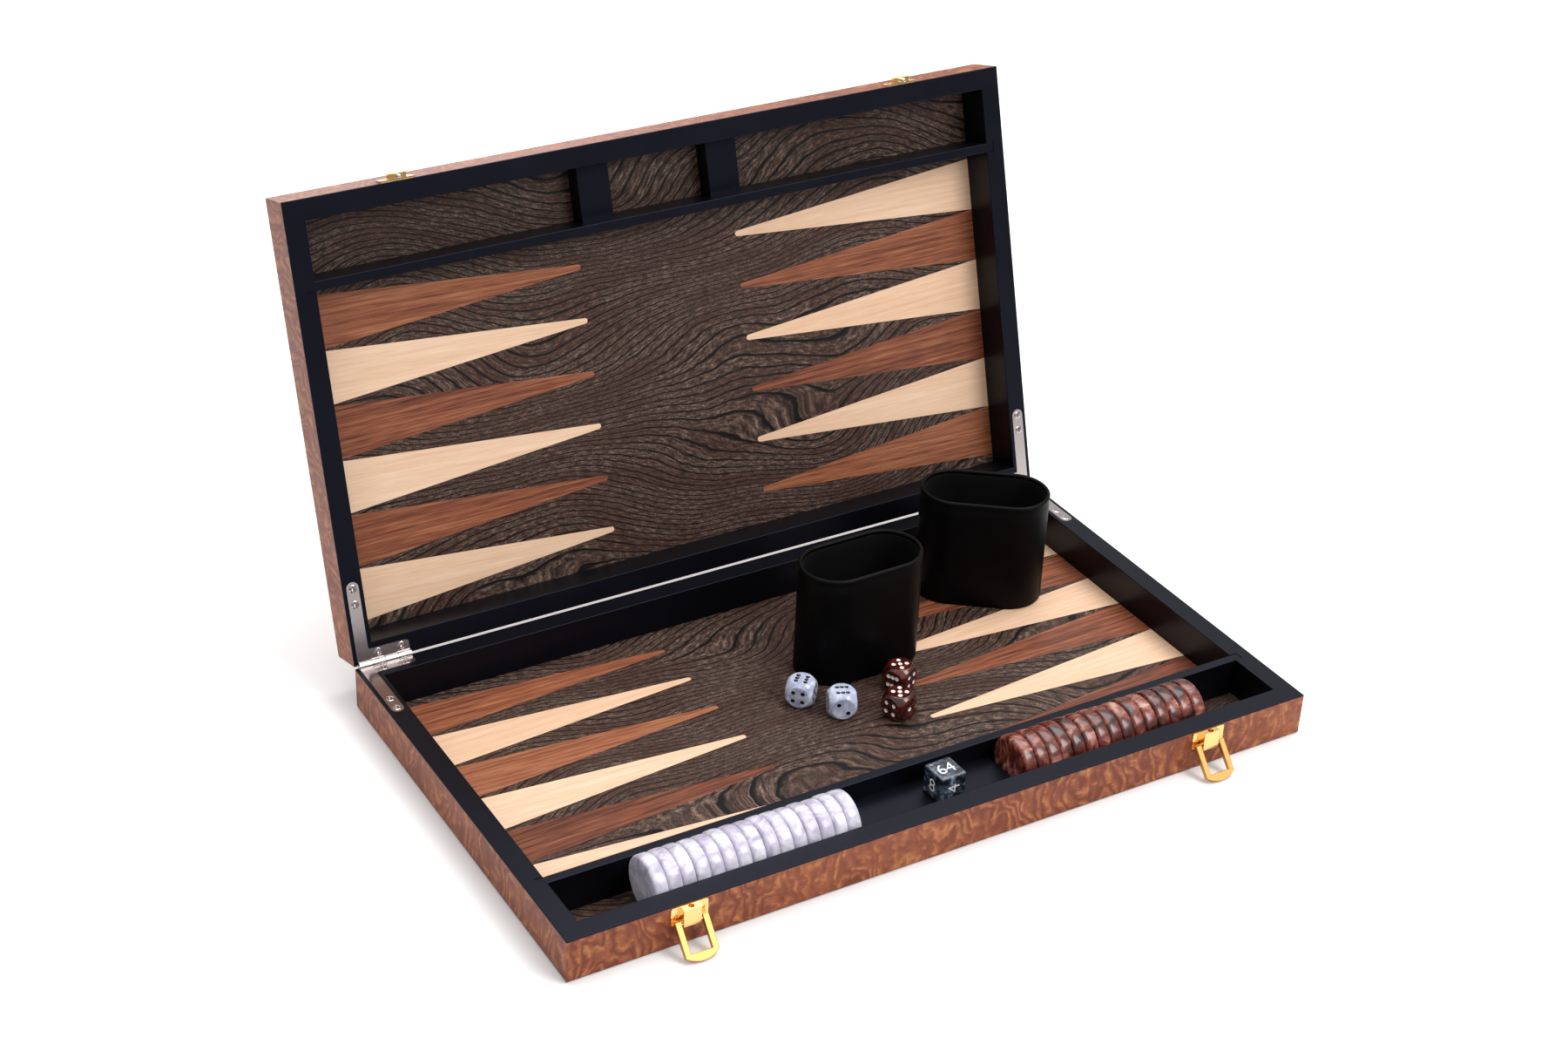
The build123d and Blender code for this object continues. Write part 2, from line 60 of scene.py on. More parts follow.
# ---- the lid, from the hinge ----
HINGE_OFFSET = 0.4          # hinge axis behind the back face, and above the rim
LID_LEAN = 73.7             # degrees from the lower half's plane to the lid's, the short way round
LID_UP = np.array([0, math.cos(math.radians(LID_LEAN)), math.sin(math.radians(LID_LEAN))])
LID_OUT = np.array([0, -math.sin(math.radians(LID_LEAN)), math.cos(math.radians(LID_LEAN))])
HINGE_AXIS = np.array([0, DEPTH / 2 + HINGE_OFFSET, HEIGHT + HINGE_OFFSET])
LID_CORNER = HINGE_AXIS + HINGE_OFFSET * (LID_UP - LID_OUT)

# ---- fittings: screws as head radius, shank radius and length ----
LEAF_EDGE = 2.4             # from the case's side to the hinge leaf
HINGE_SCREW = (2.48, 1.2, 9.0)
HINGE_SCREW_PLACES = [(3.8, 46.6), (3.8, 36.8), (13.4, 5.6), (28.0, 5.6)]
LATCH_X = 169.3
LATCH_PLATE = 1.0
LATCH_SCREW = (1.48, 0.8, 6.0)
LATCH_SCREW_OUT, LATCH_SCREW_DROP = 8.3, 5.6


# ---------------------------------------------------------------- finishes

def tint(code):
    """Linear colour of a hex code."""
    channels = [int(code[i:i + 2], 16) / 255 for i in (1, 3, 5)]
    return tuple(c / 12.92 if c <= 0.04045 else ((c + 0.055) / 1.055) ** 2.4 for c in channels) + (1.0,)


class Amount:
    """A socket of a finish. Arithmetic on it adds Math nodes; % 1 keeps the fraction."""

    def __init__(self, finish, socket):
        self.finish = finish
        self.socket = socket

    def math(self, operation, *terms):
        return self.finish.node("ShaderNodeMath", {"operation": operation}, dict(enumerate(terms)))

    def __add__(self, other):
        return self.math("ADD", self, other)

    def __radd__(self, other):
        return self.math("ADD", other, self)

    def __sub__(self, other):
        return self.math("SUBTRACT", self, other)

    def __rsub__(self, other):
        return self.math("SUBTRACT", other, self)

    def __mul__(self, other):
        return self.math("MULTIPLY", self, other)

    def __rmul__(self, other):
        return self.math("MULTIPLY", other, self)

    def __truediv__(self, other):
        return self.math("DIVIDE", self, other)

    def __mod__(self, other):
        return self.math("FLOORED_MODULO", self, other)

    def floor(self):
        return self.math("FLOOR", self)

    def size(self):
        return self.math("ABSOLUTE", self)

    def step(self, low, high):
        """0 below low and 1 above high, rising smoothly between; the other way round if low is above high."""
        return self.finish.node("ShaderNodeMapRange", {"interpolation_type": "SMOOTHSTEP"},
                                {"Value": self, "From Min": low, "From Max": high}, "Result")


class Finish:
    """A material and the nodes that make it."""

    def __init__(self, name):
        self.material = bpy.data.materials.new(name)
        self.material.use_nodes = True
        self.tree = self.material.node_tree
        self.tree.nodes.clear()

    def socket(self, sockets, key):
        if isinstance(key, int):
            return sockets[key]
        exact = [s for s in sockets if s.identifier == key]
        return (exact or [s for s in sockets if s.name == key and s.enabled])[0]

    def node(self, kind, settings=None, inputs=None, out=0):
        """Adds a node: its settings first, then the values or links of its sockets. Gives one output."""
        made = self.tree.nodes.new(kind)
        for name, value in (settings or {}).items():
            if name == "stops":
                elements = made.color_ramp.elements
                elements[0].position, elements[1].position = value[0][0], value[-1][0]
                for place, _ in value[1:-1]:
                    elements.new(place)
                for element, (_, code) in zip(elements, value):
                    element.color = tint(code)
            else:
                setattr(made, name, value)
        for key, value in (inputs or {}).items():
            socket = self.socket(made.inputs, key)
            if isinstance(value, Amount):
                self.tree.links.new(value.socket, socket)
            else:
                socket.default_value = value
        return Amount(self, self.socket(made.outputs, out)) if made.outputs else None

    def spot(self, tilt=0.0, shift=(0, 0, 0)):
        """Object coordinates in millimetres, turned about x and moved so that a piece lies flat in them."""
        where = self.node("ShaderNodeTexCoord", out="Object")
        return self.node("ShaderNodeMapping", {"vector_type": "POINT"},
                         {"Vector": where, "Scale": (1 / MM,) * 3, "Rotation": (math.radians(tilt), 0, 0),
                          "Location": shift})

    def vector(self, operation, a, b):
        return self.node("ShaderNodeVectorMath", {"operation": operation}, {0: a, 1: b})

    def stretch(self, at, sizes):
        """Coordinates divided by a size along each axis, so that a pattern of size 1 takes those sizes."""
        return self.vector("MULTIPLY", at, tuple(1 / s for s in sizes))

    def parts(self, at):
        return [self.node("ShaderNodeSeparateXYZ", None, {0: at}, k) for k in range(3)]

    def join(self, x, y, z=0.0):
        return self.node("ShaderNodeCombineXYZ", None, {0: x, 1: y, 2: z})

    def cloud(self, at, detail=2.0, rough=0.5, warp=0.0, out="Fac"):
        """Soft noise of feature size 1."""
        inputs = {"Vector": at, "Scale": 1.0, "Detail": detail, "Roughness": rough, "Distortion": warp}
        return self.node("ShaderNodeTexNoise", {"noise_dimensions": "3D"}, inputs, out)

    def bend(self, at, size, reach):
        """Coordinates pushed about by up to reach, in swirls of the size given."""
        swirl = self.cloud(self.stretch(at, (size,) * 3), 1.0, out="Color")
        push = self.vector("SUBTRACT", swirl, (0.5,) * 3)
        return self.vector("ADD", at, self.vector("MULTIPLY", push, (2 * reach,) * 3))

    def tones(self, factor, *stops):
        return self.node("ShaderNodeValToRGB", {"stops": stops}, {"Fac": factor})

    def blend(self, a, b, factor):
        """Colour a turning into colour b."""
        return self.node("ShaderNodeMix", {"data_type": "RGBA"},
                         {"Factor_Float": factor, "A_Color": a, "B_Color": b}, "Result_Color")

    def carried(self, name):
        """A number that the mesh carries at each point."""
        return self.node("ShaderNodeAttribute", {"attribute_name": name}, out="Fac")

    def relief(self, height, depth):
        """Bump from a height of 0 to 1, as deep as given in millimetres."""
        return self.node("ShaderNodeBump", None, {"Strength": 1.0, "Distance": depth * MM, "Height": height})

    def done(self, **sockets):
        """Puts the shader on: keyword names are its sockets, with _ for a space."""
        named = {key.replace("_", " "): value for key, value in sockets.items()}
        shader = self.node("ShaderNodeBsdfPrincipled", None, named)
        self.node("ShaderNodeOutputMaterial", None, {"Surface": shader})
        return self.material


# How each half's veneers are laid flat: the lid's field then lies at the same height as the lower one's.
BASE_SPOT = {"tilt": 0.0, "shift": (0, 0, 0)}
LID_SPOT = {"tilt": -LID_LEAN,
            "shift": (0, -float(LID_CORNER @ LID_UP), HEIGHT - float(LID_CORNER @ LID_OUT))}


def lacquer(name):
    """Satin black lacquer with a faint orange peel."""
    f = Finish(name)
    at = f.spot()
    peel = f.cloud(f.stretch(at, (1.1,) * 3), 1.0)
    haze = f.cloud(f.stretch(at, (34.0,) * 3), 2.0)
    return f.done(Base_Color=f.blend(tint("#050507"), tint("#0A0A0F"), haze),
                  Roughness=0.3 + 0.08 * haze, Normal=f.relief(peel, 0.006), Specular_IOR_Level=0.2,
                  Specular_Tint=tint("#C6CEFF"))


def burl(name, spot, upright=2, low=None):
    """Reddish veneer with soft dark waves standing across it; upright is the axis that the waves run
    along. Short fibres lie across the waves and feather their edges."""
    f = Finish(name)
    at = f.spot(**spot)
    bent = f.bend(at, 30.0, 7.0)
    tall, fibre = [22.0] * 3, [4.5] * 3
    tall[upright], fibre[upright] = 34.0, 0.55
    places = f.parts(at)
    length = sum((places[axis] for axis in range(3) if axis != upright), places[upright] * 0.35)
    wave = f.cloud(f.stretch(bent, tall), 2.0, 0.5)
    mottle = f.cloud(f.stretch(bent, (6.0,) * 3), 3.0, 0.6)
    fibres = f.cloud(f.bend(f.stretch(at, fibre), 3.0, 0.6), 3.0, 0.65)
    broad = f.cloud(f.stretch(at, (55.0,) * 3), 1.0)
    fold = (length / 9.5 + wave * 7.5 + (mottle - 0.5) * 1.0 + (fibres - 0.5) * 0.5) % 1
    band = 1 - (fold - 0.5).size() * 2 + (fibres - 0.5) * 0.5
    colour = f.tones(fibres * 0.4 + mottle * 0.6,
                     (0.36, "#743A26"), (0.47, "#87482D"), (0.55, "#985835"), (0.66, "#AB6F43"))
    dark = band.step(0.25, 0.95) * (0.4 + 0.6 * broad.step(0.36, 0.54))
    colour = f.blend(colour, tint("#6B301D"), dark * 0.9)
    colour = f.blend(colour, tint("#C08751"), band.step(0.25, 0.0) * mottle.step(0.42, 0.6) * 0.45)
    colour = f.blend(colour, tint("#57281A"), fibres.step(0.57, 0.72) * 0.4)
    if low is not None:
        colour = f.blend(colour, tint("#20100C"), places[2].step(low, low - 0.5) * 0.9)
    return f.done(Base_Color=colour, Roughness=0.36 + 0.14 * mottle, Normal=f.relief(fibres, 0.012),
                  Specular_IOR_Level=0.25)


def smoked_elm(name, spot, seed):
    """Dark veneer: growth lines are the contours of a slow drift across the board, and pores follow them.
    The seed takes another part of the log."""
    f = Finish(name)
    at = f.vector("ADD", f.spot(**spot), (seed, 0.37 * seed, 0.0))
    x, y, _ = f.parts(at)
    drift = f.cloud(f.stretch(at, (190.0, 112.0, 112.0)), 1.0, 0.35)
    ripple = f.cloud(f.stretch(at, (30.0, 16.0, 16.0)), 2.0, 0.5)
    rings = y / 4.6 + drift * 33.0 + ripple * 0.8
    age = rings % 1
    strength = f.cloud(f.join(x / 30.0, rings * 0.8), 1.0)
    jagged = f.cloud(f.stretch(at, (2.2, 1.4, 1.4)), 2.0)
    line = (age + (jagged - 0.5) * 0.09).step(0.7, 0.88) * age.step(1.0, 0.96) * strength.step(0.05, 0.4)
    late = (rings * 2.63 + 0.3) % 1
    faint = late.step(0.6, 0.95) * (1 - strength).step(0.35, 0.65) * 0.55
    pores = f.cloud(f.join(x / 5.0, rings * 5.5), 3.0, 0.6)
    grit = f.cloud(f.stretch(at, (1.0, 0.7, 0.7)), 2.0, 0.65)
    broad = f.cloud(f.join(x / 60.0, rings * 0.33), 1.0)
    colour = f.tones(pores * 0.68 + grit * 0.32,
                     (0.37, "#1B1311"), (0.47, "#3F302A"), (0.55, "#5F4B42"), (0.66, "#927968"))
    colour = f.blend(colour, tint("#3E241C"), broad.step(0.42, 0.6) * 0.5)
    colour = f.blend(colour, tint("#171211"), faint)
    colour = f.blend(colour, tint("#060505"), line)
    return f.done(Base_Color=colour, Roughness=0.45 + 0.12 * pores, Normal=f.relief(pores - line * 0.5, 0.02),
                  Specular_IOR_Level=0.18)


def point_veneer(name, spot, first, stops, streak, seed):
    """Straight-grained veneer for the points; streak is the width of its streaks. Every point, counted
    from first, is its own leaf, so its tone and its grain differ."""
    f = Finish(name)
    at = f.spot(**spot)
    x, y, _ = f.parts(at)
    leaf = ((y - first) / POINT_BASE).floor() + x.step(-1.0, 1.0) * 17.0 + seed
    own = f.node("ShaderNodeTexWhiteNoise", {"noise_dimensions": "1D"}, {"W": leaf}, "Value")
    slope = (own - 0.5) * 0.09
    grain = f.join(x / 110.0, (y + x * slope) / streak + leaf * 5.0, leaf)
    broad = f.cloud(grain, 3.0, 0.55)
    fine = f.cloud(f.join(x / 20.0, (y + x * slope) / 0.5, leaf), 2.0, 0.6)
    tone = broad * 0.44 + fine * 0.44 + own * 0.12
    return f.done(Base_Color=f.tones(tone, *stops), Roughness=0.38 + 0.1 * fine, Normal=f.relief(fine, 0.012),
                  Specular_IOR_Level=0.25)


WALNUT = ((0.37, "#46241A"), (0.46, "#733F2B"), (0.53, "#8D5339"), (0.64, "#A9704E"))
MAPLE = ((0.34, "#D6AC8C"), (0.5, "#E2BD9E"), (0.66, "#EDCDB2"))


def plated(name, colour, rough, brushed=0.0):
    """Plated metal with faint polishing marks; brushed=1 makes them fine lines along x."""
    f = Finish(name)
    at = f.spot()
    if brushed:
        marks = f.cloud(f.stretch(at, (14.0, 0.25, 0.25)), 2.0)
    else:
        marks = f.cloud(f.stretch(at, (2.5,) * 3), 3.0)
    return f.done(Base_Color=f.blend(tint(colour), tint("#FFFFFF"), marks * 0.1), Metallic=1.0,
                  Roughness=rough + marks * (0.05 + 0.2 * brushed),
                  Normal=f.relief(marks, 0.002 + 0.02 * brushed))


def leatherette(name):
    """Matt black leatherette: small cells pressed into it."""
    f = Finish(name)
    at = f.spot()
    cells = f.node("ShaderNodeTexVoronoi", {"feature": "SMOOTH_F1"},
                   {"Vector": f.bend(at, 1.4, 0.35), "Scale": 1.25, "Smoothness": 0.5}, "Distance")
    worn = f.cloud(f.stretch(at, (22.0,) * 3), 2.0)
    return f.done(Base_Color=f.blend(tint("#020203"), tint("#050507"), worn), Roughness=0.4 + 0.12 * worn,
                  Normal=f.relief(cells, 0.03), Specular_IOR_Level=0.09)


def felt(name):
    """Black felt with short crossing fibres."""
    f = Finish(name)
    at = f.spot()
    nap = f.cloud(f.bend(f.stretch(at, (0.5,) * 3), 1.2, 0.6), 3.0, 0.75)
    return f.done(Base_Color=f.blend(tint("#020203"), tint("#0C0C0E"), nap), Roughness=0.9 + 0.1 * nap,
                  Normal=f.relief(nap, 0.25), Specular_IOR_Level=0.15)


def pearl(name, stops, size, gloss, numbered=True, pip=None):
    """Cast pearl or marble plastic: folded clouds of colour of the size given. A numbered piece carries
    the number of each checker, which cuts another part of the block. pip is the paint of a die's pips."""
    f = Finish(name)
    at = f.spot()
    if numbered:
        own = f.carried("checker")
        at = f.vector("ADD", at, f.join(own * 31.0, own * 17.0, own * 7.0))
    bent = f.bend(at, size * 1.6, size * 0.7)
    fold = f.cloud(f.stretch(bent, (size, size * 0.6, size * 0.8)), 3.0, 0.55, 0.6)
    wisp = f.cloud(f.stretch(bent, (size * 0.35, size * 0.16, size * 0.3)), 2.0, 0.5)
    colour = f.tones(fold * 0.72 + wisp * 0.28, *stops)
    if pip:
        colour = f.blend(colour, tint(pip), f.carried("pip_edge").step(0.05, -0.05))
    wave = f.cloud(f.stretch(at, (5.0,) * 3), 1.0)
    return f.done(Base_Color=colour, Roughness=gloss + 0.08 * wisp, Normal=f.relief(wave, 0.08),
                  Coat_Weight=0.35, Coat_Roughness=0.12)


def plain_wood(name):
    """Pale plywood, seen only through gaps."""
    f = Finish(name)
    grain = f.cloud(f.stretch(f.spot(), (30.0, 1.2, 0.6)), 3.0)
    return f.done(Base_Color=f.tones(grain, (0.3, "#A98558"), (0.7, "#C9A678")), Roughness=0.7)


def painted(name, colour):
    """Flat paint with a faint speckle."""
    f = Finish(name)
    speck = f.cloud(f.stretch(f.spot(), (0.8,) * 3), 2.0)
    return f.done(Base_Color=f.blend(tint(colour), tint("#FFFFFF"), speck * 0.2),
                  Roughness=0.35 + 0.1 * speck)


# ---------------------------------------------------------------- meshes

def shell(grid):
    """Points and faces of a closed skin over a grid of points: the columns run round and join up, the
    rows run along, and the first and last rows are each closed by a fan to their middle."""
    rows, columns, _ = grid.shape
    points = grid.reshape(-1, 3)
    row = np.arange(rows - 1)[:, None] * columns
    after = row + columns
    column = np.arange(columns)[None, :]
    beside = (column + 1) % columns
    faces = np.stack([row + column, row + beside, after + beside, after + column], -1).reshape(-1, 4).tolist()
    for k in (0, rows - 1):
        middle = len(points)
        points = np.vstack([points, grid[k].mean(0)])
        edge = k * columns
        faces += np.stack([edge + column[0], edge + beside[0], np.full(columns, middle)], -1).tolist()
    return points, faces


def together(*made):
    """Several sets of points and faces as one."""
    points, faces, so_far = [], [], 0
    for some, own in made:
        points.append(some)
        faces += [[i + so_far for i in face] for face in own]
        so_far += len(some)
    return np.vstack(points), faces


def seat(points, origin, x=(1, 0, 0), z=(0, 0, 1)):
    """Points of a frame whose x and z directions and origin are given, in the object's frame."""
    x, z = np.asarray(x, float), np.asarray(z, float)
    axes = np.stack([x, np.cross(z, x), z])
    return points @ axes + np.asarray(origin, float)


def piece(name, made, body, nodes, material, carried=None, crease=40.0):
    """Puts points and faces into a mesh with the numbers that it carries, turns its faces outwards, lets
    it ride on its body and take the place of the nodes. Edges sharper than crease stay sharp."""
    points, faces = made
    mesh = bpy.data.meshes.new(name)
    mesh.from_pydata((points * MM).tolist(), [], faces)
    for key, values in (carried or {}).items():
        layer = mesh.attributes.new(key, "FLOAT", "POINT")
        layer.data.foreach_set("value", np.asarray(values, np.float32))
    work = bmesh.new()
    work.from_mesh(mesh)
    bmesh.ops.recalc_face_normals(work, faces=work.faces)
    work.to_mesh(mesh)
    work.free()
    mesh.shade_smooth()
    mesh.set_sharp_from_angle(angle=math.radians(crease))
    thing = bpy.data.objects.new(name, mesh)
    bpy.context.scene.collection.objects.link(thing)
    thing.data.materials.append(material)
    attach(thing, body)
    if nodes:
        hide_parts(*nodes)


def heading(turn):
    """Level direction at an angle from x, in degrees."""
    a = math.radians(turn)
    return np.array([math.cos(a), math.sin(a), 0])


def arc(centre, radius, start, stop, count):
    """Points of a circular arc in a profile, from one angle to another in degrees."""
    a = np.radians(np.linspace(start, stop, count))
    return [(centre[0] + radius * math.cos(t), centre[1] + radius * math.sin(t)) for t in a]


# ---------------------------------------------------------------- checkers

CHECKER_R, CHECKER, CHECKER_PITCH = 16.5, 8.35, 8.46
CHECKER_ROUND, CROWN, DISH = 1.7, 0.35, 0.06
CHECKER_PLAY = 0.3          # least gap to the tray


def checker(x, y, z, wobble):
    """A disc on edge: a profile of radius against thickness, with rounded corners, turned about x. Its
    edge is crowned: the radius falls with the square of the distance from mid-thickness. It also swells
    and dips by a few hundredths of a millimetre in slow waves round it, and the faces are very slightly
    dished."""
    r, t = CHECKER_ROUND, CHECKER
    face = [(4.0, DISH), (9.0, 0.05), (13.0, 0.01)]
    profile = face + arc((CHECKER_R - r, r), r, -90, 0, 6)
    profile += [(CHECKER_R, t * k / 8) for k in range(3, 6)]
    profile += arc((CHECKER_R - r, t - r), r, 0, 90, 6)
    profile += [(reach, t - sunk) for reach, sunk in reversed(face)]
    reach, along = np.array(profile).T
    reach = reach - CROWN * (2 * along / t - 1) ** 2 * (reach / CHECKER_R) ** 8
    turn = np.linspace(0, 2 * math.pi, 72, endpoint=False)
    swell = 1 + 0.003 * np.sin(3 * turn + wobble) + 0.002 * np.sin(7 * turn + 2.3 * wobble) - 0.004
    wide = reach[:, None] * swell[None, :]
    grid = np.stack([np.repeat(along[:, None], len(turn), 1), wide * np.cos(turn), wide * np.sin(turn)], -1)
    return shell(grid + np.array([x, y, z]))


def checkers(start, colour, seed, material):
    """A row of fifteen checkers on edge in the tray, five to a stack, each a little out of line."""
    shake = random.Random(seed)
    slack = TRAY_WIDTH / 2 - CHECKER_R - CHECKER_PLAY
    x = start
    number = 0
    for place in ("left", "middle", "right"):
        stack, own = [], []
        for _ in range(5):
            y = TRAY_MIDDLE + shake.uniform(-slack, slack)
            z = FIELD_Z + CHECKER_PLAY + CHECKER_R + shake.uniform(0, 0.5)
            stack.append(checker(x, y, z, 1.7 * number + seed))
            own.append(np.full(len(stack[-1][0]), float(number)))
            x += CHECKER_PITCH
            number += 1
        body = f"{colour}_checkers_{place}"
        piece(f"{colour}_checker_stack_{place}", together(*stack), body, [body], material,
              {"checker": np.concatenate(own)})


# ---------------------------------------------------------------- dice and doubling cube

DIE, DIE_ROUND, DIE_BALL, DIE_CELLS = 16.6, 1.7, 10.75, 56
CUBE, CUBE_ROUND, CUBE_CELLS = 17.0, 1.1, 20
PIP_OUT, PIP_R, PIP_DEEP = 2.85, 1.32, 0.42
CROWDING = 0.72             # how strongly a cube's grid crowds towards its edges
BALL_EASE = 0.25            # a die's flats ease into its ball over twice this length
NUMERAL, NUMERAL_RAISED = 11.5, 0.03
PAIR = [(1, 1), (-1, -1)]
FOUR = PAIR + [(1, -1), (-1, 1)]
PIPS = {1: [(0, 0)], 2: PAIR, 3: PAIR + [(0, 0)], 4: FOUR, 5: FOUR + [(0, 0)], 6: FOUR + [(1, 0), (-1, 0)]}
SIDES_OF_A_CUBE = [(0, -1), (0, 1), (1, -1), (1, 1), (2, -1), (2, 1)]   # left, right, front, back, under, top


def rounded_cube(size, edge, ball, cells, faces=None):
    """Six grids over a cube. Each point is drawn in to a cube smaller by the edge radius and pushed out
    again by that radius along the line between the two; a length beyond the ball's radius is eased back
    to it. Where faces gives a number of pips, the points under each pip are sunk in a shallow dish. Gives
    the points, the faces and each point's distance from the nearest pip's edge."""
    half = size / 2
    crowd = math.pi / 2 * CROWDING
    steps = np.sin(np.linspace(-1, 1, cells + 1) * crowd) / math.sin(crowd)
    u, v = np.meshgrid(steps * half, steps * half, indexing="ij")
    points, edges, quads = [], [], []
    row = np.arange(cells)[:, None] * (cells + 1) + np.arange(cells)[None, :]
    quad = np.stack([row, row + 1, row + cells + 2, row + cells + 1], -1).reshape(-1, 4)
    for axis, sign in SIDES_OF_A_CUBE:
        p = np.zeros((cells + 1, cells + 1, 3))
        p[..., axis] = sign * half
        p[..., (axis + 1) % 3] = u
        p[..., (axis + 2) % 3] = v
        core = np.clip(p, -(half - edge), half - edge)
        out = p - core
        out /= np.linalg.norm(out, axis=-1, keepdims=True)
        p = core + edge * out
        if ball:
            far = np.linalg.norm(p, axis=-1, keepdims=True)
            over = np.maximum(far - ball + BALL_EASE, 0)
            eased = np.where(over > 2 * BALL_EASE, ball, far - over ** 2 / (4 * BALL_EASE))
            p = p * np.minimum(eased, far) / far
        gap = np.full(u.shape, 1.0)
        if faces:
            count, across = faces[(axis, sign)]
            for a, b in PIPS[count]:
                a, b = (b, a) if across else (a, b)
                gap = np.minimum(gap, np.hypot(u - a * PIP_OUT, v - b * PIP_OUT) - PIP_R)
            share = np.clip(-gap / PIP_R, 0, 1)
            p[..., axis] -= sign * PIP_DEEP * (1 - (1 - share) ** 2)
        quads.append(quad + sum(len(q) for q in points))
        points.append(p.reshape(-1, 3))
        edges.append(gap.ravel())
    points, gap, quads = np.vstack(points), np.concatenate(edges), np.vstack(quads)
    _, first, inverse = np.unique(np.round(points, 4), axis=0, return_index=True, return_inverse=True)
    return points[first], inverse.ravel()[quads].tolist(), gap[first]


def die(name, x, y, turn, pips, material):
    """A die on the board; pips gives each side's number of pips and whether its rows run across."""
    faces = dict(zip(SIDES_OF_A_CUBE, pips))
    points, quads, gap = rounded_cube(DIE, DIE_ROUND, DIE_BALL, DIE_CELLS, faces)
    placed = seat(points, (x, y, FIELD_Z + REST_GAP + DIE / 2), heading(turn))
    piece(name + "_cast", (placed, quads), name, [name], material, {"pip_edge": gap}, crease=60.0)


def numeral(text, size, origin, x, z):
    """Slightly raised numeral lying on a face and centred on its origin; x is the way it reads."""
    curve = bpy.data.curves.new("numeral", "FONT")
    curve.body, curve.size = text, size
    curve.extrude, curve.offset = NUMERAL_RAISED, -0.006 * size
    curve.align_x, curve.align_y = "CENTER", "CENTER"
    maker = bpy.data.objects.new("numeral", curve)
    bpy.context.scene.collection.objects.link(maker)
    bpy.context.view_layer.update()
    mesh = bpy.data.meshes.new_from_object(maker.evaluated_get(bpy.context.evaluated_depsgraph_get()))
    co = np.zeros(len(mesh.vertices) * 3, np.float32)
    mesh.vertices.foreach_get("co", co)
    points = co.reshape(-1, 3).astype(float)
    middle = (points.max(0) + points.min(0)) / 2
    faces = [list(p.vertices) for p in mesh.polygons]
    bpy.data.objects.remove(maker)
    bpy.data.meshes.remove(mesh)
    bpy.data.curves.remove(curve)
    return seat(points - middle, origin, x, z), faces


# ---------------------------------------------------------------- cups

CUP_HALF, CUP_R, CUP_HEIGHT, CUP_WALL, CUP_FLOOR = 18.0, 22.25, 73.5, 2.2, 3.0
CUP_FOOT_R, CUP_ROLL_R = 1.0, 1.35
CUP_SEAM, CUP_TUCK = 5.2, 4.2       # how far below the mouth the leather is stitched and tucked in
LINING, LINING_DROP, LINING_HEEL = 0.9, 2.6, 1.5
LINING_FIT = 0.02


def racetrack(reach, height):
    """Rows of points round a racetrack: half circles of the radius reach, joined by straights."""
    turn = np.linspace(-math.pi / 2, math.pi / 2, 25)
    half_x = np.concatenate([CUP_HALF + 0 * turn, -CUP_HALF + 0 * turn])
    angle = np.concatenate([turn, turn + math.pi])
    reach, height = np.asarray(reach)[:, None], np.asarray(height)[:, None]
    x = half_x[None, :] + reach * np.cos(angle)[None, :]
    y = reach * np.sin(angle)[None, :]
    return np.stack([x, y, height + 0 * x], -1)


def along_profile(profile):
    """Radii and heights of a profile, with its long runs split into even stretches of 6 mm or more."""
    corners = np.array(profile)
    points = [corners[:1]]
    for a, b in zip(corners, corners[1:]):
        count = max(1, int(math.dist(a, b) / 6.0))
        points.append(a + (b - a) * np.arange(1, count + 1)[:, None] / count)
    return np.vstack(points).T


def cup(side, x, y, turn):
    """Dice cup: a closed profile carried round a racetrack, with a stitched-down roll at the mouth, and
    its felt lining, which is another such profile inside it."""
    r, h, foot, roll = CUP_R, CUP_HEIGHT, CUP_FOOT_R, CUP_ROLL_R
    outer = [(r - 3 * foot, 0.0), (r - foot, 0.0)] + arc((r - foot, foot), foot, -90, 0, 5)[1:]
    outer += [(r - 0.2, h - CUP_SEAM), (r - 0.45, h - CUP_TUCK)]
    outer += arc((r - roll, h - roll), roll, -25, 205, 12)
    bore = r - CUP_WALL
    outer += [(bore - 0.1, h - CUP_TUCK), (bore, h - CUP_SEAM), (bore, CUP_FLOOR)]
    place = ((x, y, FIELD_Z + REST_GAP), heading(turn))
    points, faces = shell(racetrack(*along_profile(outer)))
    piece(f"cup_shell_{side}", (seat(points, *place), faces), f"cup_{side}", [f"dice_cup_{side}"],
          leather, crease=70.0)

    bore, floor, top = bore - LINING_FIT, CUP_FLOOR + LINING, h - LINING_DROP
    hollow = r - CUP_WALL - LINING
    inner = [(bore, CUP_FLOOR + LINING_FIT), (bore, top - 0.2), (bore - 0.28, top), (bore - 0.68, top),
             (hollow, top - 0.3), (hollow, floor + LINING_HEEL), (hollow - LINING_HEEL, floor), (4.0, floor)]
    points, faces = shell(racetrack(*along_profile(inner)))
    piece(f"cup_felt_{side}", (seat(points, *place), faces), f"cup_{side}", [f"cup_lining_{side}"],
          lining, crease=70.0)


# ---------------------------------------------------------------- screws

